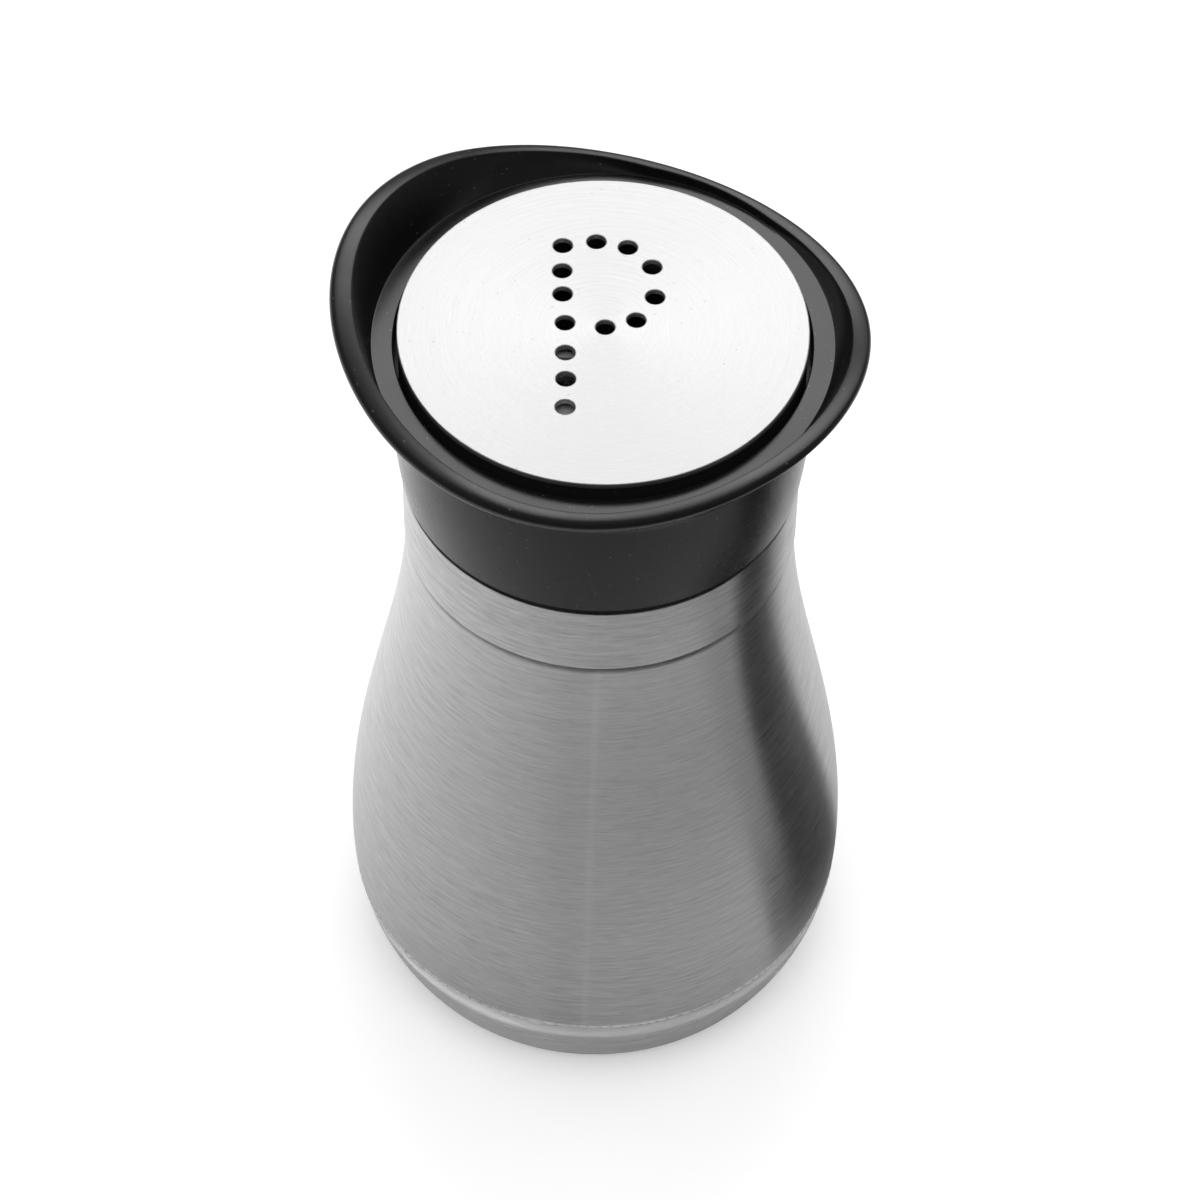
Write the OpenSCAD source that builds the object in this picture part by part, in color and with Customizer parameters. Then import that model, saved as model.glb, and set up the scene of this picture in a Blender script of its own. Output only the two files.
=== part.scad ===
// Pepper shaker: a glass bottle in a brushed steel sleeve, under a screw cap
// with a steel neck band, a black collar with a wavy pouring lip and a
// perforated steel disc.
// Millimetres, +Z up, origin at the centre of the base on the table.
// +X is the viewer's right and -Y faces the viewer.

/* [Body] */
// Widest radius of the steel body
body_r = 30.1; // [28:0.1:33]
// Height of the widest place above the table
belly_z = 15.5; // [14:0.5:20]
// Radius that the body's outline reaches at the table
foot_r = 26.2; // [25:0.1:27.5]
// How late the outline turns in below the widest place
foot_curve = 2.25; // [1.8:0.05:2.8]
// Height of the sleeve's top
body_h = 72.1; // [66:0.1:84]
// How far above the sleeve's top the body's curve would level out
waist_rise = 1.9; // [0:0.1:4]

/* [Steel sleeve] */
// Thickness of the steel
sleeve_t = 0.5; // [0.3:0.05:0.8]
// Gap between the steel and the glass
sleeve_gap = 0.2; // [0.1:0.05:0.4]
// Height of the sleeve's lower edge
hem_z = 12.3; // [9:0.1:13.5]
// Radius of the bend at the sleeve's top
shoulder_r = 1.6; // [1:0.1:2.5]
// Gap between the sleeve's top flange and the bottle's thread
flange_gap = 0.3; // [0.2:0.05:0.6]

/* [Glass bottle] */
// Thickness of the glass behind the sleeve
glass_wall = 2.5; // [2:0.1:3.6]
// Thickness of the glass at the middle of the base
base_t = 5; // [4:0.1:8]
// Depth of the hollow under the base
push_up = 1.6; // [0.8:0.1:2.2]
// Width of the ring that the bottle stands on
rest_w = 2.6; // [1.5:0.1:4]
// Height of the rounded heel
heel_h = 1.6; // [1:0.1:2.5]
// Radius of the corner between the inside wall and floor
floor_corner_r = 7; // [4:0.5:10]
// Height of the bottle's rim above the sleeve's top
finish_h = 11.9; // [11:0.1:14]
// Thickness of the glass at the mouth
mouth_wall = 1.9; // [1.5:0.1:2.4]
// Rounding of the rim
rim_round = 0.7; // [0.3:0.1:0.9]

/* [Screw thread] */
// Radius of the bottle's neck between the threads
finish_r = 17.5; // [16.8:0.1:19]
// Height of the bottle's thread ridge
ridge_h = 1.15; // [0.8:0.05:1.4]
// Width of a ridge where it leaves its wall
ridge_foot_w = 2.2; // [1.8:0.1:2.5]
// Width of a ridge at its crest
ridge_crest_w = 0.9; // [0.5:0.1:1.1]
// Rise of the cap in one turn
thread_lead = 4.2; // [4:0.1:5]
// Turns of the ridge on the bottle
bottle_turns = 1.4; // [1:0.05:1.5]
// Turns of the ridge in the cap
cap_turns = 1.25; // [1:0.05:1.35]
// Gap between the bottle's ridge and the cap's bore
thread_gap = 0.35; // [0.3:0.05:0.5]
// Gap between the cap's ridge and the bottle's neck
neck_gap = 0.45; // [0.3:0.05:0.6]
// Play along the axis between the two ridges
thread_play = 0.3; // [0.2:0.05:0.45]

/* [Cap] */
// Gap between the sleeve's top and the cap
cap_gap = 0.3; // [0.3:0.05:0.6]
// Thickness of the inner cap's wall
cap_wall = 2.85; // [2.4:0.05:3.4]
// Thickness of the plate over the bottle's rim
plate_t = 1.6; // [1:0.1:2.4]
// How far the plate reaches in past the bottle's mouth
plate_lap = 1.6; // [0.8:0.1:4.6]
// How far the inner cap steps in above the band, to carry the collar
collar_lap = 0.8; // [0.5:0.05:1.1]
// Thickness of the inner cap's wall above the plate
upper_wall = 1.5; // [1:0.1:2]
// Gap between pieces that are pressed or bonded together
seat_gap = 0.05; // [0.02:0.01:0.08]
// Thickness of the seal
seal_t = 0.9; // [0.6:0.1:1.4]
// Gap between the seal and the inner cap's bore
seal_gap = 0.1; // [0.05:0.05:0.2]
// Overlap of the seal inwards past the bottle's rim
seal_inset = 0.2; // [0:0.05:0.4]

/* [Neck band] */
// Height of the steel band
band_h = 9.4; // [7:0.1:10.5]
// Thickness of the steel band
band_t = 0.45; // [0.3:0.05:0.6]
// How far the band stands proud of the sleeve's neck
band_proud = 0.2; // [0.1:0.05:0.5]
// Width of the band's turned-in lower edge
band_turn_w = 1.4; // [1:0.1:2]
// Rounding of the band's lower edge
band_round = 0.6; // [0.5:0.05:0.8]
// Height of the dark groove between the band and the collar
groove_h = 0.3; // [0.25:0.05:0.5]
// Depth of the dark groove
groove_depth = 0.25; // [0.15:0.05:0.35]

/* [Collar] */
// How far the collar's lower edge stands proud of the band
collar_proud = 0.1; // [0:0.05:0.3]
// Height of the ledge above the collar's lower edge
ledge_h = 19.8; // [18:0.1:24]
// Width of the ledge round the gap
ledge_w = 2.42; // [2:0.01:3]
// How far the collar widens from its lower edge to below the lip
skirt_flare = 0.93; // [0.5:0.01:1.4]
// Height at which the lip starts to spread
skirt_h = 11.5; // [9:0.1:12.5]
// Depth of the seat for the disc carrier below the ledge
carrier_depth = 4.9; // [4:0.1:6]
// Gap round the disc carrier
ledge_gap = 0.5; // [0.3:0.05:0.7]

/* [Lip] */
// Mean height of the lip's bead above the ledge
lip_mid_h = 2.65; // [2:0.05:5]
// Mean reach of the lip's bead past the ledge
lip_reach = 3.1; // [2.4:0.05:3.8]
// How much the lip widens for each unit that it rises
lip_lean = 0.08; // [0:0.01:0.2]
// Height of the lip's rise to one side
lip_wave_1 = 3.05; // [0:0.05:3.5]
// Direction of the rise to one side, in degrees from +X
lip_dir_1 = 207; // [0:1:359]
// Height of the lip's rise on two opposite sides
lip_wave_2 = 2.6; // [0:0.01:3]
// Direction of the rise on two opposite sides
lip_dir_2 = 155; // [0:1:359]
// Height of the lip's small threefold wave
lip_wave_3 = 0.15; // [0:0.05:0.4]
// Direction of the threefold wave
lip_dir_3 = 61; // [0:1:119]
// How far the lip's lowest stretch is raised
lip_lift = 2.6; // [0:0.1:3]
// Direction of the middle of that stretch
lip_lift_dir = 59; // [0:1:359]
// Angle from its middle to its ends
lip_lift_span = 66; // [40:1:120]
// How far the lip is drawn in beside that stretch
lip_draw = 2.0; // [0:0.1:2.2]
// Direction in which it is drawn in most
lip_draw_dir = 65; // [0:1:359]
// Radius of the lip's rounded edge
bead_r = 0.75; // [0.5:0.05:0.9]
// Thickness of the lip's wall outside the ledge
lip_wall = 1.15; // [0.9:0.05:1.5]
// Thickness of the plastic below the ledge's edge
lip_floor = 2.6; // [2.2:0.1:3.2]

/* [Disc and its carrier] */
// How far the steel disc reaches past the inner cap's wall
disc_reach = 0.58; // [0.1:0.01:0.8]
// Thickness of the steel disc
disc_t = 0.6; // [0.4:0.05:1]
// Bevel round the disc's upper edge
disc_bevel = 0.12; // [0.05:0.01:0.2]
// Diameter of the holes in the disc
hole_d = 2.1; // [1.2:0.1:2.6]
// Height of the carrier's edge above the ledge
riser_h = 1.2; // [0.8:0.1:2]
// How far the disc overhangs the carrier
disc_overhang = 0.1; // [0.05:0.01:0.15]
// Width of the carrier's rim
carrier_rim_w = 2.7; // [2:0.1:3.5]
// Depth of the carrier's plate below the disc
carrier_recess = 0.9; // [0.5:0.1:1.4]
// Thickness of the carrier's plate
carrier_plate_t = 1.2; // [0.8:0.1:1.6]
// Width of the plate that is left behind the window
window_edge = 2.63; // [1.5:0.01:4]
// Distance of the window's centre behind the axis
window_y = 4; // [3:0.1:5]
// Width of the bar across the window
bar_w = 0.8; // [0.6:0.1:1.4]
// Distance of the bar in front of the axis
bar_y = 2.65; // [2:0.05:3.5]
// Length of the carrier's plug inside the inner cap
plug_h = 2.6; // [1.5:0.1:4]
// Thickness of the plug's wall
plug_wall = 1.2; // [0.8:0.1:1.6]
// Gap round the plug
plug_gap = 0.1; // [0.05:0.01:0.2]

/* [Adhesive] */
// Thickness of the adhesive under the sleeve's lower edge
glue_t = 0.35; // [0.2:0.05:0.6]

/* [Hidden] */
$fn = 96;

// One overrun serves every cut, and one sink every ridge that joins a wall
overrun = 1;
sink = 0.4;
runout_sink = sink / 2;

// Steps of the curves
curve_steps = 22;
heel_steps = 6;
lip_turn_steps = 60;
lip_curve_steps = 5;
bead_steps = 6;
thread_steps = 36;
runout_steps = 4;

// Radii from the thread outwards
crest_r = finish_r + ridge_h;
cap_bore_r = crest_r + thread_gap;
cap_crest_r = finish_r + neck_gap;
cap_r = cap_bore_r + cap_wall;
band_in_r = cap_r + seat_gap;
band_r = band_in_r + band_t;
neck_r = band_r - band_proud;
collar_r = band_r + collar_proud;
cap_upper_r = cap_r - collar_lap;
collar_bore_r = cap_upper_r + seat_gap;
skirt_top_r = collar_r + skirt_flare;
flange_r = crest_r + flange_gap;
mouth_r = finish_r - mouth_wall;
plate_hole_r = mouth_r - plate_lap;
disc_r = cap_r + disc_reach;
carrier_r = disc_r - disc_overhang;
carrier_hole_r = carrier_r + ledge_gap;
ledge_r = carrier_hole_r + ledge_w;
lip_mid_r = ledge_r + lip_reach;
glass_inset = sleeve_t + sleeve_gap;

// Heights from the table upwards
waist_z = body_h + waist_rise;
step_z = hem_z - glue_t;
glass_shoulder_z = body_h - glass_inset;
rim_z = body_h + finish_h;
cap_z = body_h + cap_gap;
inner_cap_z = cap_z + band_t + seat_gap;
band_top_z = cap_z + band_h;
collar_z = band_top_z + groove_h;
seal_z = rim_z + seat_gap;
plate_z = seal_z + seal_t + seat_gap;
plate_top_z = plate_z + plate_t;
ledge_z = collar_z + ledge_h;
carrier_z = ledge_z - carrier_depth;
inner_cap_top_z = carrier_z - seat_gap;
disc_z = ledge_z + riser_h;
carrier_plate_top_z = disc_z - carrier_recess;
carrier_plate_z = carrier_plate_top_z - carrier_plate_t;
skirt_top_z = collar_z + skirt_h;

// The ridges meet flank to flank with the play between them
ridge_mean_w = (ridge_foot_w + ridge_crest_w) / 2;
cap_ridge_drop = ridge_mean_w + thread_play;
cap_ridge_z = inner_cap_z + ridge_foot_w / 2;
bottle_ridge_z = cap_ridge_z + cap_ridge_drop;

// Places of the holes as shares of the disc's radius, back to front
stem_shares = [
    [-0.205, 0.545], [-0.205, 0.375], [-0.2, 0.22], [-0.185, 0.03],
    [-0.18, -0.165], [-0.175, -0.335], [-0.175, -0.515]
];
bowl_shares = [
    [-0.04, 0.575], [0.115, 0.54], [0.235, 0.41],
    [0.25, 0.21], [0.16, 0.055], [0.01, 0.005]
];

// Outline of the body, from the table to the waist
function body_at(z) =
    z < belly_z
        ? body_r - (body_r - foot_r) * pow((belly_z - z) / belly_z, foot_curve)
        : neck_r + (body_r - neck_r) * (1 + cos(180 * (z - belly_z) / (waist_z - belly_z))) / 2;

// Points of the body's outline between two heights, drawn in by inset
function body_curve(z0, z1, inset, steps = curve_steps) =
    [for (i = [0:steps]) let (z = z0 + (z1 - z0) * i / steps) [body_at(z) - inset, z]];

// Points of an arc round c, from angle a0 to angle a1
function arc(c, r, a0, a1, steps = heel_steps) =
    [for (i = [0:steps]) let (a = a0 + (a1 - a0) * i / steps) c + r * [cos(a), sin(a)]];

function reversed(list) = [for (i = [len(list) - 1:-1:0]) list[i]];

// Points of a curve with one control point
function bend(p0, p1, p2, steps = heel_steps) =
    [for (i = [0:steps]) let (t = i / steps) (1 - t) * (1 - t) * p0 + 2 * t * (1 - t) * p1 + t * t * p2];

// Point of a curve between two points with a direction at each end
function hermite(p0, m0, p1, m1, t) =
    (2 * t * t * t - 3 * t * t + 1) * p0 + (t * t * t - 2 * t * t + t) * m0
    + (3 * t * t - 2 * t * t * t) * p1 + (t * t * t - t * t) * m1;

// Closed skin over rings of points that all have the same count
module skin(rings, closed) {
    n = len(rings);
    m = len(rings[0]);
    last = closed ? n : n - 1;
    sides = [
        for (i = [0:last - 1]) for (j = [0:m - 1])
            let (a = i * m + j, b = i * m + (j + 1) % m)
            let (c = ((i + 1) % n) * m + (j + 1) % m, d = ((i + 1) % n) * m + j)
            for (face = [[a, b, c], [a, c, d]]) face
    ];
    ends = closed ? [] : [
        for (j = [1:m - 2]) for (face = [[0, j + 1, j], [(n - 1) * m, (n - 1) * m + j, (n - 1) * m + j + 1]]) face
    ];
    polyhedron([for (ring = rings) each ring], concat(sides, ends));
}

// Right-hand thread ridge from a wall at wall_r to a crest at top_r, which
// lies outside the wall on a neck and inside it in a cap. Its root and its two
// ends lie inside the wall.
module thread_ridge(wall_r, top_r, z0, turns) {
    n = ceil(thread_steps * turns);
    out = sign(top_r - wall_r);
    height = abs(top_r - wall_r);
    flank = (ridge_foot_w - ridge_crest_w) / 2 / height;
    rings = [
        for (i = [0:n])
            let (a = 360 * turns * i / n, z = z0 + thread_lead * turns * i / n)
            let (grown = min(1, min(i, n - i) / runout_steps))
            let (h = (height + runout_sink) * grown - runout_sink)
            let (low = [wall_r - out * sink, ridge_foot_w / 2 + flank * sink])
            let (high = [wall_r + out * h, ridge_foot_w / 2 - flank * h])
            let (section = [[low[0], -low[1]], [high[0], -high[1]], high, low])
            [for (p = out > 0 ? section : reversed(section)) [p[0] * cos(a), p[0] * sin(a), z + p[1]]]
    ];
    skin(rings, false);
}

module glass_bottle() {
    shoulder_out = arc([body_at(body_h - shoulder_r) - shoulder_r, body_h - shoulder_r],
        shoulder_r - glass_inset, 0, 90);
    neck_low_z = glass_shoulder_z - glass_wall / 2;
    shoulder_drop = 2 * glass_wall;
    shoulder_in_z = neck_low_z - shoulder_drop;
    heel_slope = (body_at(heel_h) - foot_r) / heel_h;
    rest_out_r = foot_r - heel_h;
    rest_in_r = rest_out_r - rest_w;
    outline = concat(
        bend([rest_out_r, 0], [body_at(heel_h) - heel_slope * heel_h, 0], [body_at(heel_h), heel_h]),
        body_curve(heel_h, step_z, 0, heel_steps),
        body_curve(step_z, body_h - shoulder_r, glass_inset),
        shoulder_out,
        [[finish_r, glass_shoulder_z], [finish_r, rim_z - rim_round]],
        arc([finish_r - rim_round, rim_z - rim_round], rim_round, 0, 90),
        arc([mouth_r + rim_round, rim_z - rim_round], rim_round, 90, 180)
    );
    wall_inset = glass_inset + glass_wall;
    floor_r = body_at(base_t + floor_corner_r) - wall_inset;
    inside = concat(
        [for (i = [0:heel_steps - 1]) hermite(
            [mouth_r, neck_low_z], [0, -shoulder_drop],
            [body_at(shoulder_in_z) - wall_inset, shoulder_in_z],
            [body_at(shoulder_in_z - shoulder_drop) - body_at(shoulder_in_z), -shoulder_drop], i / heel_steps)],
        reversed(body_curve(base_t + floor_corner_r, shoulder_in_z, wall_inset)),
        reversed(arc([floor_r - floor_corner_r, base_t + floor_corner_r], floor_corner_r, 270, 360)),
        [[0, base_t]]
    );
    underside = concat(
        [[0, push_up]],
        bend([rest_in_r - 2 * heel_h, push_up], [rest_in_r - heel_h, push_up], [rest_in_r, 0])
    );
    color([0.8, 0.83, 0.83])
    union() {
        rotate_extrude() polygon(concat(outline, inside, underside));
        thread_ridge(finish_r, crest_r, bottle_ridge_z, bottle_turns);
    }
}

module steel_sleeve() {
    bend_z = body_h - shoulder_r;
    bend_r = body_at(bend_z) - shoulder_r;
    color([0.72, 0.72, 0.73])
    rotate_extrude()
    polygon(concat(
        body_curve(hem_z, bend_z, 0),
        arc([bend_r, bend_z], shoulder_r, 0, 90),
        [[flange_r, body_h], [flange_r, body_h - sleeve_t]],
        reversed(arc([bend_r, bend_z], shoulder_r - sleeve_t, 0, 90)),
        reversed(body_curve(hem_z, bend_z, sleeve_t))
    ));
}

module hem_adhesive() {
    glue_r = body_at(hem_z);
    color([0.9, 0.9, 0.88])
    rotate_extrude()
    translate([glue_r - glass_inset, step_z])
    square([glass_inset - sleeve_gap, glue_t]);
}

module mouth_seal() {
    color([0.93, 0.93, 0.9])
    rotate_extrude()
    translate([mouth_r - seal_inset, seal_z])
    square([cap_bore_r - seal_gap - mouth_r + seal_inset, seal_t]);
}

module inner_cap() {
    groove_r = band_r - groove_depth;
    color([0.08, 0.08, 0.08])
    union() {
        rotate_extrude()
        polygon([
            [cap_bore_r, inner_cap_z], [cap_r, inner_cap_z], [cap_r, band_top_z + seat_gap],
            [groove_r, band_top_z + seat_gap], [groove_r, collar_z - seat_gap],
            [cap_upper_r, collar_z - seat_gap], [cap_upper_r, inner_cap_top_z],
            [cap_upper_r - upper_wall, inner_cap_top_z], [cap_upper_r - upper_wall, plate_top_z],
            [plate_hole_r, plate_top_z], [plate_hole_r, plate_z], [cap_bore_r, plate_z]
        ]);
        thread_ridge(cap_bore_r, cap_crest_r, cap_ridge_z, cap_turns);
    }
}

module neck_band() {
    color([0.72, 0.72, 0.73])
    rotate_extrude()
    polygon(concat(
        [[band_r - band_turn_w, cap_z]],
        arc([band_r - band_round, cap_z + band_round], band_round, -90, 0),
        [[band_r, band_top_z], [band_in_r, band_top_z], [band_in_r, cap_z + band_t],
            [band_r - band_turn_w, cap_z + band_t]]
    ));
}

// Share between 0 and 1 of what is done to a stretch of the lip about the direction mid
function lip_share(a, mid) =
    let (off = abs((a - mid + 540) % 360 - 180))
    (1 + cos(180 * min(1, off / lip_lift_span))) / 2;

// Height and radius of the bead's middle, in the direction a
function lip_rise(a) =
    lip_wave_1 * cos(a - lip_dir_1) + lip_wave_2 * cos(2 * (a - lip_dir_2)) + lip_wave_3 * cos(3 * (a - lip_dir_3));
function lip_at(a) = [
    lip_mid_r + lip_lean * lip_rise(a) - lip_draw * lip_share(a, lip_draw_dir),
    ledge_z + lip_mid_h + lip_rise(a) + lip_lift * lip_share(a, lip_lift_dir)
];

// How much a curve keeps of the straight way out and up, at its start and end
out_shares = [0.4, 1.5];
up_shares = [1.3, 0.7];
function leave(d) = [out_shares[0] * d[0], up_shares[0] * d[1]];
function arrive(d) = [out_shares[1] * d[0], up_shares[1] * d[1]];

// Section of the lip in the direction a, from the skirt round the bead to the ledge
function lip_section(a) =
    let (bead = lip_at(a))
    let (start = [skirt_top_r, skirt_top_z] - [seat_gap, seat_gap])
    let (knee = [ledge_r + lip_wall, ledge_z - lip_floor + min(0, bead[1] - ledge_z) / 2])
    let (edge = [ledge_r, ledge_z])
    let (m_out = arrive(bead - knee), m_in = arrive(bead - edge))
    let (a_out = atan2(m_out[1], m_out[0]) - 90, a_in = atan2(m_in[1], m_in[0]) + 90)
    let (low = bead + bead_r * [cos(a_out), sin(a_out)], high = bead + bead_r * [cos(a_in), sin(a_in)])
    let (through = (low - start) / 2)
    concat(
        [for (i = [0:lip_curve_steps - 1])
            hermite(start, [0, knee[1] - start[1]], knee, through, i / lip_curve_steps)],
        [for (i = [0:lip_curve_steps - 1])
            hermite(knee, through, low, arrive(low - knee), i / lip_curve_steps)],
        arc(bead, bead_r, a_out, a_in, bead_steps),
        [for (i = [1:lip_curve_steps])
            hermite(high, -arrive(high - edge), edge, -leave(high - edge), i / lip_curve_steps)],
        [[ledge_r - 2 * sink, ledge_z], [ledge_r - 2 * sink, ledge_z - sink],
            [skirt_top_r - 3 * sink, skirt_top_z - sink]]
    );

module lip_collar() {
    skirt = [for (i = [0:heel_steps])
        let (t = i / heel_steps) [collar_r + skirt_flare * t * (2 - t), collar_z + skirt_h * t]];
    rings = [
        for (i = [0:lip_turn_steps - 1])
            let (a = 360 * i / lip_turn_steps)
            [for (p = lip_section(a)) [p[0] * cos(a), p[0] * sin(a), p[1]]]
    ];
    color([0.1, 0.1, 0.1])
    union() {
        rotate_extrude()
        polygon(concat(
            skirt,
            [[skirt_top_r - sink, skirt_top_z + sink], [ledge_r - 2 * sink, ledge_z - lip_floor + sink],
                [ledge_r - sink, ledge_z], [carrier_hole_r, ledge_z], [carrier_hole_r, carrier_z],
                [collar_bore_r, carrier_z], [collar_bore_r, collar_z]]
        ));
        skin(rings, true);
    }
}

module disc_carrier() {
    rim_in_r = carrier_r - carrier_rim_w;
    window_r = rim_in_r - window_edge - window_y;
    plug_r = cap_upper_r - upper_wall - plug_gap;
    color([0.08, 0.08, 0.08])
    difference() {
        rotate_extrude()
        polygon([
            [0, carrier_plate_z], [rim_in_r, carrier_plate_z], [plug_r - plug_wall, carrier_z],
            [plug_r - plug_wall, carrier_z - plug_h], [plug_r, carrier_z - plug_h],
            [plug_r, carrier_z], [carrier_r, carrier_z], [carrier_r, disc_z],
            [rim_in_r, disc_z], [rim_in_r, carrier_plate_top_z], [0, carrier_plate_top_z]
        ]);
        difference() {
            translate([0, window_y, carrier_plate_z - overrun])
            cylinder(h = carrier_plate_t + 2 * overrun, r = window_r);
            translate([-window_r - overrun, -bar_y - bar_w / 2, carrier_plate_z - 2 * overrun])
            cube([2 * (window_r + overrun), bar_w, carrier_plate_t + 4 * overrun]);
        }
    }
}

module sieve_disc() {
    color([0.85, 0.85, 0.85])
    difference() {
        rotate_extrude()
        polygon([
            [0, disc_z], [disc_r, disc_z], [disc_r, disc_z + disc_t - disc_bevel],
            [disc_r - disc_bevel, disc_z + disc_t], [0, disc_z + disc_t]
        ]);
        for (share = concat(stem_shares, bowl_shares))
            translate([disc_r * share[0], disc_r * share[1], disc_z - overrun])
            cylinder(h = disc_t + 2 * overrun, d = hole_d, $fn = 32);
    }
}

glass_bottle();
steel_sleeve();
hem_adhesive();
mouth_seal();
inner_cap();
neck_band();
lip_collar();
disc_carrier();
sieve_disc();
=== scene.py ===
"""Looks of the pepper shaker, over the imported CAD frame."""

import math

import bmesh
import bpy
from mathutils import Matrix, Vector
from mathutils.geometry import tessellate_polygon


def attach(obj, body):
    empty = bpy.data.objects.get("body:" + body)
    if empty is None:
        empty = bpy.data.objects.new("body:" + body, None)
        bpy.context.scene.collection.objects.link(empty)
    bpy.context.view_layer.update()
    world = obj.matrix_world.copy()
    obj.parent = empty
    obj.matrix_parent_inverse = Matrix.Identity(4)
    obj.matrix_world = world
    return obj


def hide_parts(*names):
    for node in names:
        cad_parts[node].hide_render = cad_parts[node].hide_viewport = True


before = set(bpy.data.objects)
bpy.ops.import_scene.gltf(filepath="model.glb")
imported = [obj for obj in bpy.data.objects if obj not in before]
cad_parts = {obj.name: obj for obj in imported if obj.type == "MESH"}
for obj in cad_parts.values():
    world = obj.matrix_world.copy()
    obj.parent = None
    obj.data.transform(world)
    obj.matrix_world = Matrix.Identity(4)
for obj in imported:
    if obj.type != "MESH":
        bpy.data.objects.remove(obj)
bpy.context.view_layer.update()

# Sizes of shapes are in millimetres, as in the part's source
# Lengths in materials and the places of lamps are in metres
MM = 0.001

# Sleeve
BODY_R = 30.095
BELLY_Z = 15.5
FOOT_R = 26.2
FOOT_CURVE = 2.25
NECK_R = 22.15
WAIST_Z = 74.0
SLEEVE_TOP_Z = 72.1
SLEEVE_TOP_IN_R = 18.95
SLEEVE_T = 0.5
HEM_Z = 12.3
SHOULDER_R = 1.1

# Bottle
GLASS_STEP_Z = 11.95
GLASS_INSET = 0.7
GLASS_WALL = 2.5
GLASS_TOP_Z = 71.4
GLASS_NECK_DROP = 1.25
GLASS_FLOOR_Z = 5.0
GLASS_CORNER_R = 7.0
HEEL_Z = 1.6
REST_W = 2.6
BASE_RISE = 1.6
BASE_SLANT = 1.6
RIM_Z = 84.0
RIM_ROUND = 0.7
FINISH_R = 17.5
MOUTH_R = 15.6
THREAD_CREST_R = 18.65
THREAD_LEAD = 4.2
THREAD_TURNS = 1.4
THREAD_Z = 75.85

# Band
BAND_Z = 72.25
BAND_TOP_Z = 81.8
BAND_R = 22.35
BAND_IN_R = 21.9
BAND_T = 0.45
BAND_FLANGE_W = 1.4

# Collar and its lip
COLLAR_Z = 82.1
COLLAR_R = 22.45
COLLAR_BORE_R = 21.1
SKIRT_TOP_Z = 96.8
SKIRT_TOP_R = 23.45
SKIRT_STEPS = 24
FLARE_STEPS = 16
FLARE_PULL = 4
LEDGE_Z = 101.9
LEDGE_R = 25.25
LIP_Z = 104.48
LIP_R = 28.35
LIP_LEAN = 0.08
# Waves of the lip's height: count round the lip, height, direction in degrees
LIP_WAVES = [(1, 3.05, 207), (2, 2.6, 155), (3, 0.15, 61)]
LIP_LIFT = 2.6
LIP_LIFT_DIR = 59
LIP_DRAW = 2.0
LIP_DRAW_DIR = 65
LIP_SPAN = 66
LIP_FLOOR = 1.7
LIP_WALL = 0.3
BEAD_R = 0.75
BEAD_LESS_RIGHT = 0.3
BEAD_LOW = -45
CREST_W = 1.0
CREST_LESS_BACK = 0.4
CREST_MORE_LEFT = 0.7
CREST_MORE_RIGHT = 0.5
CREST_TILT = 8
CREST_ROUND = 0.15
WALL_STEEPEST = 85
WALL_PAST_SLOPE = 20
LEDGE_ROUND = 0.18
LEDGE_CORNER_ROUND = 0.08
SKIRT_BEVEL_W = 0.5
SKIRT_BEVEL_H = 0.65

# Disc and its carrier
DISC_R = 22.43
DISC_Z = 103.1
DISC_TOP_Z = 103.7
HOLE_R = 1.05
# Places of the holes, as shares of the disc's radius
STEM = [(-0.205, 0.545), (-0.205, 0.375), (-0.2, 0.22), (-0.185, 0.03)]
STEM += [(-0.18, -0.165), (-0.175, -0.335), (-0.175, -0.515)]
BOWL = [(-0.04, 0.575), (0.115, 0.54), (0.235, 0.41), (0.25, 0.21), (0.16, 0.055), (0.01, 0.005)]
CARRIER_Z = 97.0
CARRIER_LOW_Z = 94.4
CARRIER_HOLE_R = 22.83
CARRIER_R = 22.33
CARRIER_RIM_W = 2.7
CARRIER_WALL_R = 19.45
CARRIER_WALL_IN_R = 18.25
PLATE_Z = 101.0
PLATE_MID_Z = 101.6
PLATE_TOP_Z = 102.2
PLATE_OVERLAP = 0.2
WINDOW_R = 13
WINDOW_Y = 4
BAR_Y = -2.65
BAR_HALF = 0.4

# Range that most values of a noise lie in
NOISE_LOW = 0.3
NOISE_HIGH = 0.7


# Curves in the plane of radius and height
def arc(centre, radius, start, end, steps):
    """Points round an arc, from one angle in degrees to another."""
    out = []
    for i in range(steps + 1):
        a = math.radians(start + (end - start) * i / steps)
        out.append((centre[0] + radius * math.cos(a), centre[1] + radius * math.sin(a)))
    return out


def hermite(p0, m0, p1, m1, steps):
    """Points of a curve between two points with a direction at each end, without the last point."""
    out = []
    for i in range(steps):
        t = i / steps
        a = 2 * t**3 - 3 * t**2 + 1
        b = t**3 - 2 * t**2 + t
        c = 3 * t**2 - 2 * t**3
        d = t**3 - t**2
        out.append(tuple(a * p0[k] + b * m0[k] + c * p1[k] + d * m1[k] for k in (0, 1)))
    return out


def quadratic(p0, p1, p2, steps):
    """Points of a curve from p0 to p2 that bends towards p1, without the last point."""
    out = []
    for i in range(steps):
        t = i / steps
        a = (1 - t) ** 2
        b = 2 * t * (1 - t)
        c = t * t
        out.append(tuple(a * p0[k] + b * p1[k] + c * p2[k] for k in (0, 1)))
    return out


def towards(degrees, length):
    """Step of a given length in a direction."""
    return Vector((math.cos(math.radians(degrees)), math.sin(math.radians(degrees)))) * length


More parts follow.
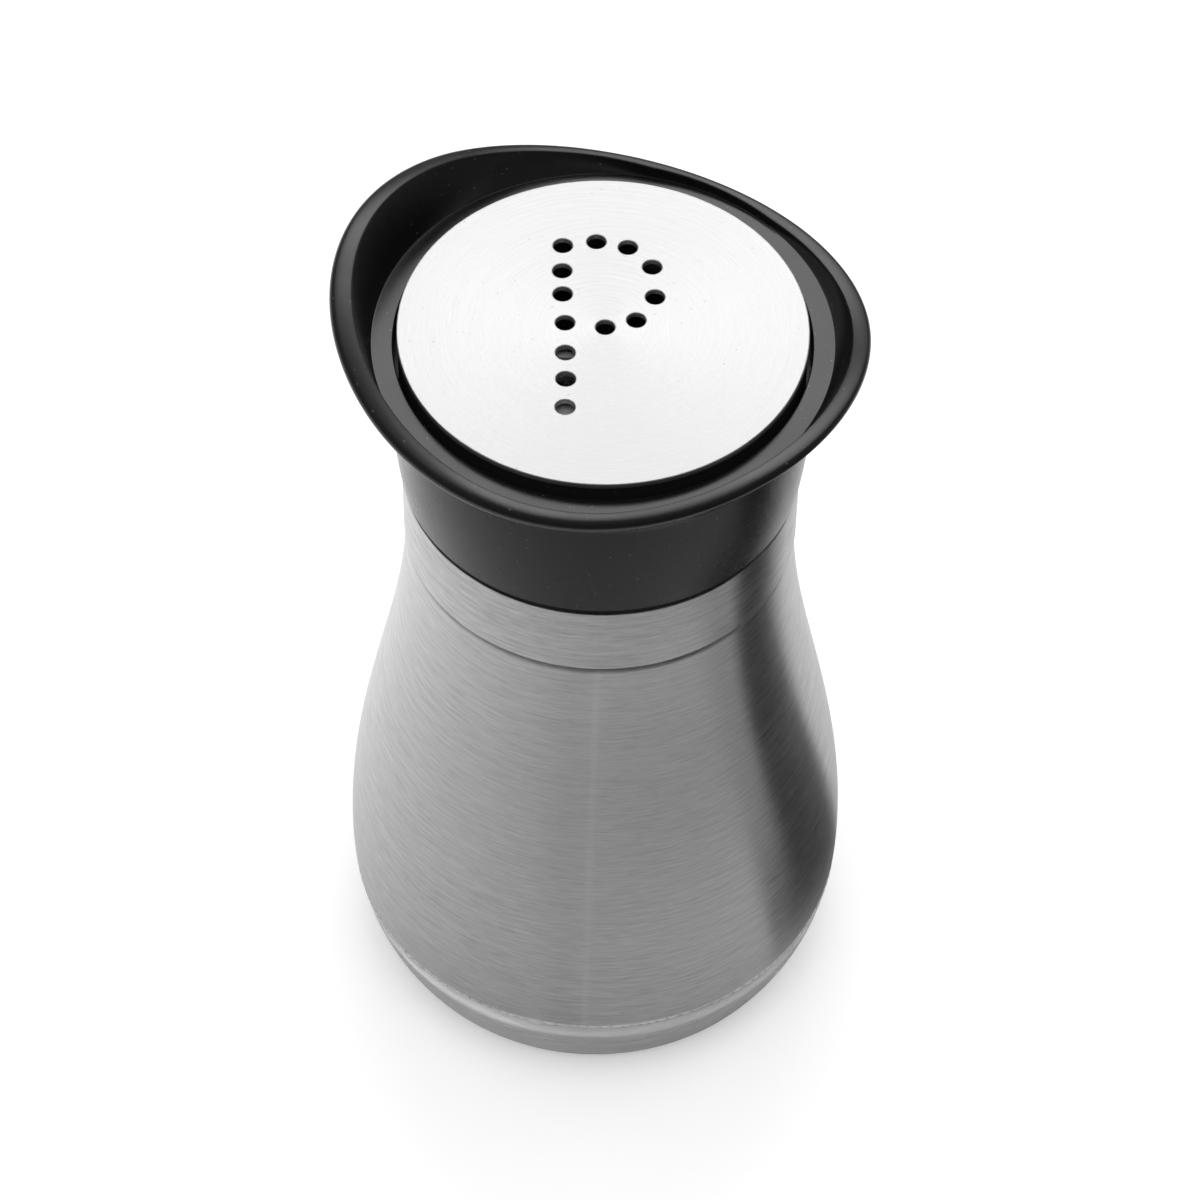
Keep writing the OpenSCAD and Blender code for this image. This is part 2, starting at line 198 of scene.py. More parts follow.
def soften(points, index, size, steps):
    """Rounds one corner of a closed outline, starting size away from it on both sides."""
    before, corner, after = (Vector(points[(index + k) % len(points)]) for k in (-1, 0, 1))
    start = corner + (before - corner).normalized() * min(size, (before - corner).length * 0.9)
    end = corner + (after - corner).normalized() * min(size, (after - corner).length * 0.9)
    return points[:index] + quadratic(start, corner, end, steps) + [tuple(end)] + points[index + 1:]


def rounded(corners, steps):
    """Closed outline from corners (radius, height, rounding)."""
    points = [(c[0], c[1]) for c in corners]
    for i in range(len(corners) - 1, -1, -1):
        if corners[i][2] > 0:
            points = soften(points, i, corners[i][2], steps)
    return points


def body_at(z):
    """Radius of the body at a height."""
    if z < BELLY_Z:
        return BODY_R - (BODY_R - FOOT_R) * ((BELLY_Z - z) / BELLY_Z) ** FOOT_CURVE
    return NECK_R + (BODY_R - NECK_R) * (1 + math.cos(math.pi * (z - BELLY_Z) / (WAIST_Z - BELLY_Z))) / 2


def body_curve(z0, z1, inset, steps):
    """Points of the body's outline between two heights, drawn in by inset."""
    out = []
    for i in range(steps + 1):
        z = z0 + (z1 - z0) * i / steps
        out.append((body_at(z) - inset, z))
    return out


# Objects and meshes
def linked(name, data):
    """New object in the scene."""
    obj = bpy.data.objects.new(name, data)
    bpy.context.scene.collection.objects.link(obj)
    return obj


def add_mesh(name, points, faces, sharp_angle):
    """Object from points in millimetres, smooth but for its sharp edges."""
    mesh = bpy.data.meshes.new(name)
    mesh.from_pydata([tuple(c * MM for c in p) for p in points], [], faces)
    mesh.validate()
    mesh.shade_smooth()
    mesh.set_sharp_from_angle(angle=math.radians(sharp_angle))
    return linked(name, mesh)


def ring_mesh(name, rings, sharp_angle):
    """Closed skin over a closed row of rings that have as many points each."""
    n = len(rings)
    m = len(rings[0])
    points = [p for ring in rings for p in ring]
    faces = []
    for i in range(n):
        after = ((i + 1) % n) * m
        for j in range(m):
            k = (j + 1) % m
            faces.append((i * m + j, after + j, after + k, i * m + k))
    return add_mesh(name, points, faces, sharp_angle)


def lathe(name, section, sharp_angle=32, radius_at=None):
    """Solid of revolution of a closed outline off the axis, with its radius changed if need be."""
    steps = 256
    rings = []
    for i in range(steps):
        a = 2 * math.pi * i / steps
        ring = []
        for r, z in section:
            out = radius_at(r, a, z) if radius_at else r
            ring.append((out * math.cos(a), out * math.sin(a), z))
        rings.append(ring)
    return ring_mesh(name, rings, sharp_angle)


def circle_loop(cx, cy, radius, steps, inwards):
    """Points of a circle, each with the direction in which a bevel draws its top edge into the plate."""
    side = -1 if inwards else 1
    out = []
    for i in range(steps):
        a = 2 * math.pi * i / steps
        nx = math.cos(a)
        ny = math.sin(a)
        out.append((cx + radius * nx, cy + radius * ny, side * nx, side * ny))
    return out


def plate(name, outline, holes, top_z, bottom_z, bevels):
    """Flat plate with holes. Bevels are steps (inset from the wall, depth below the top)."""
    levels = [(inset, top_z - depth) for inset, depth in bevels] + [(0, bottom_z)]
    points = []
    faces = []
    top = []
    bottom = []
    for loop in [outline] + holes:
        n = len(loop)
        start = len(points)
        for inset, z in levels:
            for x, y, nx, ny in loop:
                points.append((x + nx * inset, y + ny * inset, z))
        for level in range(len(bevels)):
            for j in range(n):
                a = start + level * n + j
                b = start + level * n + (j + 1) % n
                faces.append((a, b, b + n, a + n))
        last = start + len(bevels) * n
        top.append(list(range(start, start + n)))
        bottom.append(list(range(last, last + n)))
    for rows in (top, bottom):
        flat = [i for row in rows for i in row]
        for tri in tessellate_polygon([[Vector(points[i]) for i in row] for row in rows]):
            faces.append(tuple(flat[k] for k in tri))
    obj = add_mesh(name, points, faces, sharp_angle=60)
    point_outwards(obj)
    for face in obj.data.polygons:
        face.use_smooth = abs(face.normal[2]) < 0.999
    return obj


def point_outwards(obj):
    """Turns the faces so that they point outwards."""
    work = bmesh.new()
    work.from_mesh(obj.data)
    bmesh.ops.recalc_face_normals(work, faces=work.faces)
    work.to_mesh(obj.data)
    work.free()


# Shader nodes
def material(name, **sockets):
    """Material with a Principled shader whose sockets have the given values."""
    mat = bpy.data.materials.new(name)
    mat.use_nodes = True
    shader = mat.node_tree.nodes["Principled BSDF"]
    for key, value in sockets.items():
        socket = shader.inputs[key.replace("_", " ")]
        socket.default_value = (*value, 1) if isinstance(value, tuple) else value
    return mat, mat.node_tree, shader


def node(tree, kind, values=None, **settings):
    """Shader node with its settings, its input values and its links."""
    made = tree.nodes.new(kind)
    for key, value in settings.items():
        setattr(made, key, value)
    for key, value in (values or {}).items():
        if isinstance(value, bpy.types.NodeSocket):
            tree.links.new(value, made.inputs[key])
        else:
            made.inputs[key].default_value = value
    return made


def object_place(tree, scale):
    """Place on the object in its own frame, scaled along each axis."""
    coords = node(tree, "ShaderNodeTexCoord")
    mapping = node(tree, "ShaderNodeMapping", {"Vector": coords.outputs["Object"], "Scale": scale})
    return mapping.outputs["Vector"]


def length_of(tree, vector):
    """Length of a vector."""
    return node(tree, "ShaderNodeVectorMath", {0: vector}, operation="LENGTH").outputs["Value"]


def noise(tree, vector, detail, rough):
    """Noise over a place."""
    values = {"Vector": vector, "Scale": 1.0, "Detail": detail, "Roughness": rough}
    return node(tree, "ShaderNodeTexNoise", values).outputs["Fac"]


def remap(tree, value, low, high, to_low, to_high):
    """Value moved from one range to another, and kept in it."""
    values = {"Value": value, "From Min": low, "From Max": high, "To Min": to_low, "To Max": to_high}
    return node(tree, "ShaderNodeMapRange", values).outputs["Result"]


def maths(tree, operation, a, b):
    """Sum, product or other result of two values."""
    return node(tree, "ShaderNodeMath", {0: a, 1: b}, operation=operation).outputs[0]


def mixed(tree, first, second, share):
    """Sum of a share of the first value and the rest of the second."""
    rest = maths(tree, "MULTIPLY", second, 1 - share)
    return maths(tree, "ADD", maths(tree, "MULTIPLY", first, share), rest)


def dots(tree, spacing, size):
    """1 in small dots scattered over the object, 0 between them."""
    cells = node(tree, "ShaderNodeTexVoronoi", {
        "Vector": object_place(tree, (1 / spacing,) * 3),
        "Scale": 1.0,
    })
    return remap(tree, cells.outputs["Distance"], size / spacing, 1.3 * size / spacing, 1, 0)


def blend_colours(tree, factor, low, high):
    """Colour between two colours."""
    mix = tree.nodes.new("ShaderNodeMix")
    mix.data_type = "RGBA"
    tree.links.new(factor, mix.inputs[0])
    for index, colour in ((6, low), (7, high)):
        if isinstance(colour, bpy.types.NodeSocket):
            tree.links.new(colour, mix.inputs[index])
        else:
            mix.inputs[index].default_value = (*colour, 1)
    return mix.outputs[2]


def colour_by(tree, value, dark, light, low=NOISE_LOW, high=NOISE_HIGH):
    """Colour that goes from dark to light as a value goes from low to high."""
    return blend_colours(tree, remap(tree, value, low, high, 0, 1), dark, light)


def scaled_colour(colour, factor):
    """Colour with each of its parts multiplied, up to white."""
    return tuple(min(1, c * factor) for c in colour)


def set_roughness(tree, shader, value, low, high):
    """Roughness that goes from low to high over a noise."""
    tree.links.new(remap(tree, value, NOISE_LOW, NOISE_HIGH, low, high), shader.inputs["Roughness"])


def bump(tree, shader, height, distance, strength):
    """Bump from a height between 0 and 1, with its depth."""
    made = node(tree, "ShaderNodeBump", {"Height": height, "Distance": distance, "Strength": strength})
    tree.links.new(made.outputs["Normal"], shader.inputs["Normal"])


def stretch_round_axis(tree, shader):
    """Stretches highlights as grooves round the Z axis do."""
    tangent = node(tree, "ShaderNodeTangent", direction_type="RADIAL", axis="Z")
    tree.links.new(tangent.outputs[0], shader.inputs["Tangent"])


# Camera at the photograph's view
def make_camera():
    """Camera fitted to the photograph, with its sizes in the photograph's pixels."""
    picture = 1200
    focal = 4249.0
    aim_x = 598.6
    aim_y = 611.3
    distance = 498.4
    elevation = math.radians(51.06)
    lean = math.radians(-0.96)
    target = Vector((0, 0, 54.83))
    place = target + distance * Vector((0, -math.cos(elevation), math.sin(elevation)))
    forward = (target - place).normalized()
    right = Vector((1, 0, 0))
    up = right.cross(forward)
    turn = Matrix.Rotation(math.atan((aim_x - picture / 2) / focal), 3, up)
    forward = turn @ forward
    right = turn @ right
    tilt = Matrix.Rotation(math.atan((aim_y - picture / 2) / focal), 3, right)
    forward = tilt @ forward
    up = tilt @ up
    roll = Matrix.Rotation(lean, 3, forward)
    right = roll @ right
    up = roll @ up
    data = bpy.data.cameras.new("camera")
    data.sensor_width = 36
    data.lens = focal / picture * data.sensor_width
    data.clip_start = 0.01
    data.clip_end = 20
    camera = linked("camera", data)
    turned = Matrix((right, up, -forward)).transposed().to_4x4()
    camera.matrix_world = Matrix.Translation(place * MM) @ turned
    bpy.context.scene.camera = camera


make_camera()


# Materials
def bright_line_and_painted_shade(tree, shade):
    """Adds to a colour a faint bright line up the front and, beside it, a broad dim stripe of painted shade.
    """
    parts = node(tree, "ShaderNodeSeparateXYZ", {0: object_place(tree, (1, 1, 1))})
    front = maths(tree, "LESS_THAN", parts.outputs[1], 0)
    along = noise(tree, object_place(tree, (0, 0, 90)), detail=2, rough=0.5)
    wander = remap(tree, along, NOISE_LOW, NOISE_HIGH, -0.00008, 0.00008)
    across = maths(tree, "ADD", parts.outputs[0], wander)
    lean = remap(tree, parts.outputs[2], 0.012, 0.07, 0.0009, 0.0001)
    line = maths(tree, "ABSOLUTE", maths(tree, "ADD", across, lean), 0)
    bright = maths(tree, "MULTIPLY", remap(tree, line, 0.0001, 0.0006, 0.15, 0), front)
    shade = blend_colours(tree, bright, shade, (0.95, 0.95, 0.95))
    # Painted shade: a broad dim stripe left of the line darkens the steel's colour
    stripe = maths(tree, "ABSOLUTE", maths(tree, "ADD", across, 0.0035), 0)
    dim = maths(tree, "MULTIPLY", remap(tree, stripe, 0.0005, 0.0035, 0.09, 0), front)
    return blend_colours(tree, dim, shade, (0.3, 0.3, 0.3))


def brushed_steel(name, colour, streak, roughness, line_and_shade=False):
    """Steel brushed round the Z axis, with a faint bright line and a dim stripe of painted shade in front if
    asked.
    """
    mat, tree, shader = material(name, Metallic=1.0, Anisotropic=0.9, Anisotropic_Rotation=0.25)
    fine = noise(tree, object_place(tree, (380, 380, 5200)), detail=3, rough=0.6)
    long = noise(tree, object_place(tree, (110, 110, 2300)), detail=3, rough=0.5)
    both = mixed(tree, fine, long, 0.65)
    dark = tuple(c - streak for c in colour)
    light = tuple(c + streak for c in colour)
    shade = colour_by(tree, both, dark, light, 0.33, 0.67)
    if line_and_shade:
        shade = bright_line_and_painted_shade(tree, shade)
    tree.links.new(shade, shader.inputs["Base Color"])
    set_roughness(tree, shader, both, roughness - 0.05, roughness + 0.06)
    bump(tree, shader, both, distance=0.00001, strength=0.5)
    stretch_round_axis(tree, shader)
    return mat


def ring_place(tree, place, across, along):
    """Place for a noise in rings, scaled by across from ring to ring and by along round a ring."""
    parts = node(tree, "ShaderNodeSeparateXYZ", {0: place})
    return node(tree, "ShaderNodeCombineXYZ", {
        0: maths(tree, "MULTIPLY", length_of(tree, place), across),
        1: maths(tree, "MULTIPLY", parts.outputs[0], along),
        2: maths(tree, "MULTIPLY", parts.outputs[1], along),
    }).outputs[0]


def turned_steel(name):
    """Steel faced on a lathe, with fine rings about the Z axis."""
    mat, tree, shader = material(name, Metallic=1.0, Anisotropic=0.35, Anisotropic_Rotation=0.25)
    place = object_place(tree, (1, 1, 0))
    fine = noise(tree, ring_place(tree, place, 4800, 170), detail=3, rough=0.6)
    broad = noise(tree, ring_place(tree, place, 1100, 25), detail=2, rough=0.5)
    both = mixed(tree, fine, broad, 0.8)
    shade = colour_by(tree, both, (0.73, 0.73, 0.73), (0.96, 0.96, 0.96))
    specks = noise(tree, object_place(tree, (1500, 1500, 0)), detail=1, rough=0.5)
    shade = blend_colours(tree, remap(tree, specks, 0.74, 0.78, 0, 0.5), shade, (0.45, 0.44, 0.42))
    tree.links.new(shade, shader.inputs["Base Color"])
    set_roughness(tree, shader, both, 0.46, 0.54)
    bump(tree, shader, both, distance=0.000006, strength=0.4)
    stretch_round_axis(tree, shader)
    return mat


def plastic(name, grey, roughness, grain_size, grain_depth, specks=True, sheen=0.0, ior=1.5):
    """Dark moulded plastic with a fine grain and a little dust."""
    mat, tree, shader = material(name, IOR=ior, Sheen_Weight=sheen, Sheen_Roughness=0.3)
    colour = (grey, grey, grey)
    grain = noise(tree, object_place(tree, (1 / grain_size,) * 3), detail=3, rough=0.6)
    patches = noise(tree, object_place(tree, (90, 90, 90)), detail=3, rough=0.5)
    set_roughness(tree, shader, patches, roughness - 0.04, roughness + 0.06)
    shade = colour_by(tree, grain, scaled_colour(colour, 0.8), scaled_colour(colour, 1.25))
    if specks:
        shade = blend_colours(tree, dots(tree, 0.0014, 0.00009), shade, (0.09, 0.09, 0.09))
    tree.links.new(shade, shader.inputs["Base Color"])
    bump(tree, shader, grain, distance=grain_depth, strength=0.5)
    return mat


def soft_plastic(name, colour, roughness, grain_size):
    """Pale material with a slightly uneven skin."""
    mat, tree, shader = material(name, IOR=1.45)
    grain = noise(tree, object_place(tree, (1 / grain_size,) * 3), detail=3, rough=0.6)
    shade = colour_by(tree, grain, scaled_colour(colour, 0.85), scaled_colour(colour, 1.12))
    tree.links.new(shade, shader.inputs["Base Color"])
    set_roughness(tree, shader, grain, roughness - 0.05, roughness + 0.08)
    bump(tree, shader, grain, distance=0.00003, strength=0.5)
    return mat


def glass(name, haze, clear, streaky=False):
    """Pressed glass with soft waves, which may have streaks round it."""
    mat, tree, shader = material(
        name, Base_Color=(0.9, 0.9, 0.9), Roughness=haze, IOR=1.5, Transmission_Weight=clear)
    waves = noise(tree, object_place(tree, (40, 40, 700)), detail=2, rough=0.5)
    bump(tree, shader, waves, distance=0.0002, strength=0.4)
    if streaky:
        streaks = noise(tree, object_place(tree, (12, 12, 1100)), detail=3, rough=0.6)
        shade = colour_by(tree, streaks, (0.82, 0.82, 0.82), (1, 1, 1))
        tree.links.new(shade, shader.inputs["Base Color"])
    return mat


sleeve_steel = brushed_steel("sleeve_steel", (0.645, 0.645, 0.65), streak=0.16, roughness=0.37, line_and_shade=True)
band_steel = brushed_steel("band_steel", (0.635, 0.635, 0.64), streak=0.2, roughness=0.37)
disc_steel = turned_steel("disc_steel")
lip_plastic = plastic(
    "lip_plastic", 0.005, roughness=0.3, grain_size=0.0003, grain_depth=0.00001, ior=1.6)
ledge_plastic = plastic(
    "ledge_plastic", 0.005, roughness=0.2, grain_size=0.0004, grain_depth=0.000008)
skirt_plastic = plastic(
    "skirt_plastic", 0.002, roughness=0.25, grain_size=0.0002, grain_depth=0.00006, sheen=0.1, ior=1.36)
cap_plastic = plastic(
    "cap_plastic", 0.018, roughness=0.4, grain_size=0.0003, grain_depth=0.00001)
plate_plastic = plastic(
    "plate_plastic", 0.22, roughness=0.35, grain_size=0.0003, grain_depth=0.00001, specks=False)
clear_glass = glass("clear_glass", haze=0.05, clear=1.0)
foot_glass = glass("foot_glass", haze=0.22, clear=0.68, streaky=True)
adhesive = soft_plastic("adhesive", (0.8, 0.8, 0.79), roughness=0.25, grain_size=0.0004)
seal_rubber = soft_plastic("seal_rubber", (0.78, 0.78, 0.75), roughness=0.5, grain_size=0.0003)


# Pieces
def finish_piece(obj, body, slot, *nodes):
    """Lets a piece ride its body and stand for its CAD nodes, which it hides. Its slot is not used."""
    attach(obj, body)
    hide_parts(*nodes)


def shoulder():
    """Middle of the rounding at the body's shoulder."""
    z = SLEEVE_TOP_Z - SHOULDER_R
    return body_at(z) - SHOULDER_R, z


def add_sleeve():
    """Sheet steel sleeve with a rounded shoulder and a small bevel at its hem."""
    centre = shoulder()
    bevel = [(body_at(HEM_Z + 0.12) - 0.16, HEM_Z), (body_at(HEM_Z) - 0.04, HEM_Z + 0.04)]
    section = bevel + body_curve(HEM_Z, centre[1], 0, 90)[1:-1]
    section += arc(centre, SHOULDER_R, 0, 90, 14)
    section += [(SLEEVE_TOP_IN_R, SLEEVE_TOP_Z), (SLEEVE_TOP_IN_R, SLEEVE_TOP_Z - SLEEVE_T)]
    section += arc(centre, SHOULDER_R - SLEEVE_T, 90, 0, 10)
    section += body_curve(centre[1], HEM_Z, SLEEVE_T, 60)[1:]
    obj = lathe("sleeve_shell", section, sharp_angle=40)
    obj.data.materials.append(sleeve_steel)
    finish_piece(obj, "bottle", "sleeve_steel", "steel_sleeve")


def lip_share(a, mid):
    """Share between 0 and 1 of what is done to a stretch of the lip about a direction in degrees."""
    off = abs((math.degrees(a) - mid + 540) % 360 - 180)
    return (1 + math.cos(math.pi * min(1, off / LIP_SPAN))) / 2


def lip_bead(a):
    """Radius and height of the middle of the lip's outer rounding in one direction."""
    rise = sum(height * math.cos(count * (a - math.radians(mid))) for count, height, mid in LIP_WAVES)
    return Vector((LIP_R + LIP_LEAN * rise - LIP_DRAW * lip_share(a, LIP_DRAW_DIR),
                   LIP_Z + rise + LIP_LIFT * lip_share(a, LIP_LIFT_DIR)))


def lip_section(a):
    """Closed outline of the collar in one direction."""
    right = max(0, math.cos(a))
    left = max(0, -math.cos(a))
    back = max(0, math.sin(a))
    tighter = BEAD_LESS_RIGHT * right
    bead_r = BEAD_R - tighter
    bead = lip_bead(a) + Vector((tighter, tighter))
    start = Vector((SKIRT_TOP_R, SKIRT_TOP_Z))
    knee = Vector((LEDGE_R + LIP_WALL, LEDGE_Z - LIP_FLOOR))
    edge = Vector((LEDGE_R, LEDGE_Z))
    low = bead + towards(BEAD_LOW, bead_r)
    outer = []
    for i in range(SKIRT_STEPS):
        t = i / SKIRT_STEPS
        r = COLLAR_R + (SKIRT_TOP_R - COLLAR_R) * t * (2 - t)
        outer.append((r, COLLAR_Z + (SKIRT_TOP_Z - COLLAR_Z) * t))
    flare = (low - start) / 2
    pull = min(FLARE_PULL, (low - knee).length)
    outer += hermite(start, (0, knee[1] - start[1]), knee, flare, FLARE_STEPS)
    outer += hermite(knee, flare, low, towards(BEAD_LOW + 90, pull), FLARE_STEPS)
    outer += arc(bead, bead_r, BEAD_LOW, 90 - CREST_TILT, 20)
    # Crest
    room = bead[0] - edge[0] - 2 * CREST_ROUND
    wish = CREST_W - CREST_LESS_BACK * back + CREST_MORE_LEFT * left + CREST_MORE_RIGHT * right
    width = max(CREST_ROUND, min(wish, room))
    crest = Vector(outer[-1])
    inner = crest - Vector((width, 0))
    peak = (crest + inner) / 2 + Vector((0, width / 2 * math.tan(math.radians(CREST_TILT))))
    outer += quadratic(crest, peak, inner, 8)[1:]
    # Inner corner, which turns a little past the slope down to the ledge
    corner_at = inner - towards(90 + CREST_TILT, CREST_ROUND)
    across = max(0.05, inner[0] - edge[0])
    slope = math.degrees(math.atan2(inner[1] - edge[1], across))
    turn = 90 + min(WALL_STEEPEST, slope + WALL_PAST_SLOPE)
    outer += arc(corner_at, CREST_ROUND, 90 + CREST_TILT, turn, 6)
    # Hollow wall down to the ledge
    top = Vector(outer[-1])
    fall = top - edge
    hollow = edge + Vector((0.65 * fall[0], 0.3 * fall[1]))
    outer += quadratic(top, hollow, edge, 14)[1:]
    corner = len(outer)
    # Points close to both sides of the ledge keep it flat
    outer += [tuple(edge), (LEDGE_R - 0.2, LEDGE_Z), (CARRIER_HOLE_R + 0.3, LEDGE_Z)]
    outer += [(CARRIER_HOLE_R, LEDGE_Z), (CARRIER_HOLE_R, CARRIER_Z)]
    outer += [(COLLAR_BORE_R, CARRIER_Z), (COLLAR_BORE_R, COLLAR_Z)]
    outer = soften(outer, corner + 3, LEDGE_ROUND, 4)
    outer = soften(outer, corner, LEDGE_CORNER_ROUND, 4)
    # Bevel at the skirt's lower edge
    outer[0] = (COLLAR_R - SKIRT_BEVEL_W, COLLAR_Z)
    outer.insert(1, (COLLAR_R - 0.04, COLLAR_Z + SKIRT_BEVEL_H))
    return outer


def add_collar():
    """Collar with its skirt, its ledge and its wavy lip."""
    steps = 360
    rings = []
    for i in range(steps):
        a = 2 * math.pi * i / steps
        rings.append([(r * math.cos(a), r * math.sin(a), z) for r, z in lip_section(a)])
    obj = ring_mesh("collar_shell", rings, sharp_angle=50)
    obj.data.materials.append(skirt_plastic)
    obj.data.materials.append(lip_plastic)
    obj.data.materials.append(ledge_plastic)
    m = len(rings[0])
    # The bevel's point counts with the skirt
    lip_start = SKIRT_STEPS + 1 + FLARE_STEPS
    for face in obj.data.polygons:
        first = min(v % m for v in face.vertices)
        face.material_index = 1 if first >= lip_start else 0
        if face.normal[2] > 0.999 and abs(face.center[2] - LEDGE_Z * MM) < 0.01 * MM:
            face.material_index = 2
    finish_piece(obj, "cap", "collar_plastic", "lip_collar")


def add_band():
    """Sheet steel band with a flange at its foot."""
    flange_r = BAND_R - BAND_FLANGE_W
    flange_top_z = BAND_Z + BAND_T
    section = rounded([
        (flange_r, BAND_Z, 0.05),
        (BAND_R, BAND_Z, 0.15),
        (BAND_R, BAND_TOP_Z, 0.12),
        (BAND_IN_R, BAND_TOP_Z, 0.05),
        (BAND_IN_R, flange_top_z, 0),
        (flange_r, flange_top_z, 0.05),
    ], 6)
    obj = lathe("band_shell", section)
    obj.data.materials.append(band_steel)
    finish_piece(obj, "cap", "band_steel", "neck_band")


def add_disc():
    """Flat disc with rounded upper edges round it and at its holes."""
    holes = []
    for x, y in STEM + BOWL:
        holes.append(circle_loop(DISC_R * x, DISC_R * y, HOLE_R, steps=48, inwards=False))
    outline = circle_loop(0, 0, DISC_R, steps=360, inwards=True)
    bevels = [(0.14, 0.0), (0.09, 0.008), (0.045, 0.032), (0.012, 0.075), (0.0, 0.13)]
    obj = plate("disc_sheet", outline, holes, DISC_TOP_Z, DISC_Z, bevels)
    obj.data.materials.append(disc_steel)
    finish_piece(obj, "cap", "disc_steel", "sieve_disc")


def thread_at(r, angle, z):
    """Radius of the bottle's neck with its thread, which turns to the right and fades at both ends."""
    if abs(r - FINISH_R) > 0.01:
        return r
    ridge_half = 1.1
    flank_w = 0.65
    fade_turns = 0.11
    rise = 0
    turn = angle / (2 * math.pi)
    for extra in (0, 1):
        along = turn + extra
        if along <= THREAD_TURNS:
            off = abs(z - THREAD_Z - THREAD_LEAD * along)
            flank = min(1, max(0, (ridge_half - off) / flank_w))
            fade = min(1, along / fade_turns, (THREAD_TURNS - along) / fade_turns)
            rise = max(rise, min(flank, fade))
    return r + (THREAD_CREST_R - FINISH_R) * rise


def bottle_outside():
    """Outline of the bottle from the ring that it stands on, up to the inside of its rim."""
    side_r = body_at(HEEL_Z)
    slope = (side_r - FOOT_R) / HEEL_Z
    centre = shoulder()
    thread_rows = 80
    finish_h = RIM_Z - RIM_ROUND - GLASS_TOP_Z
    out = quadratic((FOOT_R - HEEL_Z, 0), (side_r - slope * HEEL_Z, 0), (side_r, HEEL_Z), 10)
    out += body_curve(HEEL_Z, GLASS_STEP_Z, 0, 24)
    out += body_curve(GLASS_STEP_Z, centre[1], GLASS_INSET, 60)
    out += arc(centre, SHOULDER_R - GLASS_INSET, 0, 90, 8)[1:]
    out += [(FINISH_R, GLASS_TOP_Z + finish_h * i / thread_rows) for i in range(thread_rows + 1)]
    out += arc((FINISH_R - RIM_ROUND, RIM_Z - RIM_ROUND), RIM_ROUND, 0, 90, 8)[1:]
    out += arc((MOUTH_R + RIM_ROUND, RIM_Z - RIM_ROUND), RIM_ROUND, 90, 180, 8)
    return out


def bottle_inside():
    """Outline of the bottle's cavity from its mouth down to the middle of its floor."""
    inset = GLASS_INSET + GLASS_WALL
    neck_low = GLASS_TOP_Z - GLASS_NECK_DROP
    drop = 5
    low = neck_low - drop
    lean = body_at(low - drop) - body_at(low)
    corner_z = GLASS_FLOOR_Z + GLASS_CORNER_R
    corner_r = body_at(corner_z) - inset - GLASS_CORNER_R
    out = hermite((MOUTH_R, neck_low), (0, -drop), (body_at(low) - inset, low), (lean, -drop), 12)
    out += body_curve(low, corner_z, inset, 50)
    out += arc((corner_r, corner_z), GLASS_CORNER_R, 0, -90, 12)[1:]
    return out


def add_bottle():
    """Glass bottle with a hollow base. Its foot has a glass of its own."""
    rest_in = FOOT_R - HEEL_Z - REST_W
    # The outline stays this far off the axis
    off_axis = 0.01
    outline = bottle_outside() + bottle_inside()
    outline += [(off_axis, GLASS_FLOOR_Z), (off_axis, BASE_RISE)]
    slant_in = rest_in - 2 * BASE_SLANT
    outline += quadratic((slant_in, BASE_RISE), (rest_in - BASE_SLANT, BASE_RISE), (rest_in, 0), 8)[1:]
    outline.append((rest_in, 0))
    obj = lathe("bottle_glass", outline, sharp_angle=40, radius_at=thread_at)
    obj.data.materials.append(clear_glass)
    obj.data.materials.append(foot_glass)
    for face in obj.data.polygons:
        if face.center[2] < GLASS_STEP_Z * MM:
            face.material_index = 1
    finish_piece(obj, "bottle", "clear_glass", "glass_bottle")


def add_carrier():
    """Ring that carries the disc, and the plate with two windows under it."""
    rim_in = CARRIER_R - CARRIER_RIM_W
    section = rounded([
        (CARRIER_R, CARRIER_Z, 0.1),
        (CARRIER_R, DISC_Z, 0.12),
        (rim_in, DISC_Z, 0.05),
        (rim_in, PLATE_MID_Z, 0),
        (rim_in, PLATE_Z, 0),
        (CARRIER_WALL_IN_R, CARRIER_Z, 0),
        (CARRIER_WALL_IN_R, CARRIER_LOW_Z, 0.1),
        (CARRIER_WALL_R, CARRIER_LOW_Z, 0.1),
        (CARRIER_WALL_R, CARRIER_Z, 0),
    ], 4)
    ring = lathe("carrier_ring", section)
    ring.data.materials.append(cap_plastic)
    finish_piece(ring, "cap", "cap_plastic", "disc_carrier")
    outline = circle_loop(0, 0, rim_in + PLATE_OVERLAP, steps=128, inwards=True)
    steps = 64
    windows = []
    for side in (1, -1):
        # The bar between the windows cuts their circle at this angle
        angle = math.asin((BAR_Y + side * BAR_HALF - WINDOW_Y) / WINDOW_R)
        first = angle if side > 0 else math.pi - angle
        span = math.pi - side * 2 * angle
        window = []
        for i in range(steps + 1):
            a = first + span * i / steps
            nx = math.cos(a)
            ny = math.sin(a)
            window.append((WINDOW_R * nx, WINDOW_Y + WINDOW_R * ny, nx, ny))
        windows.append(window)
    bridge = plate("carrier_plate", outline, windows, PLATE_TOP_Z, PLATE_Z, bevels=[(0.0, 0.0)])
    bridge.data.materials.append(plate_plastic)
    finish_piece(bridge, "cap", "cap_plastic", "disc_carrier")


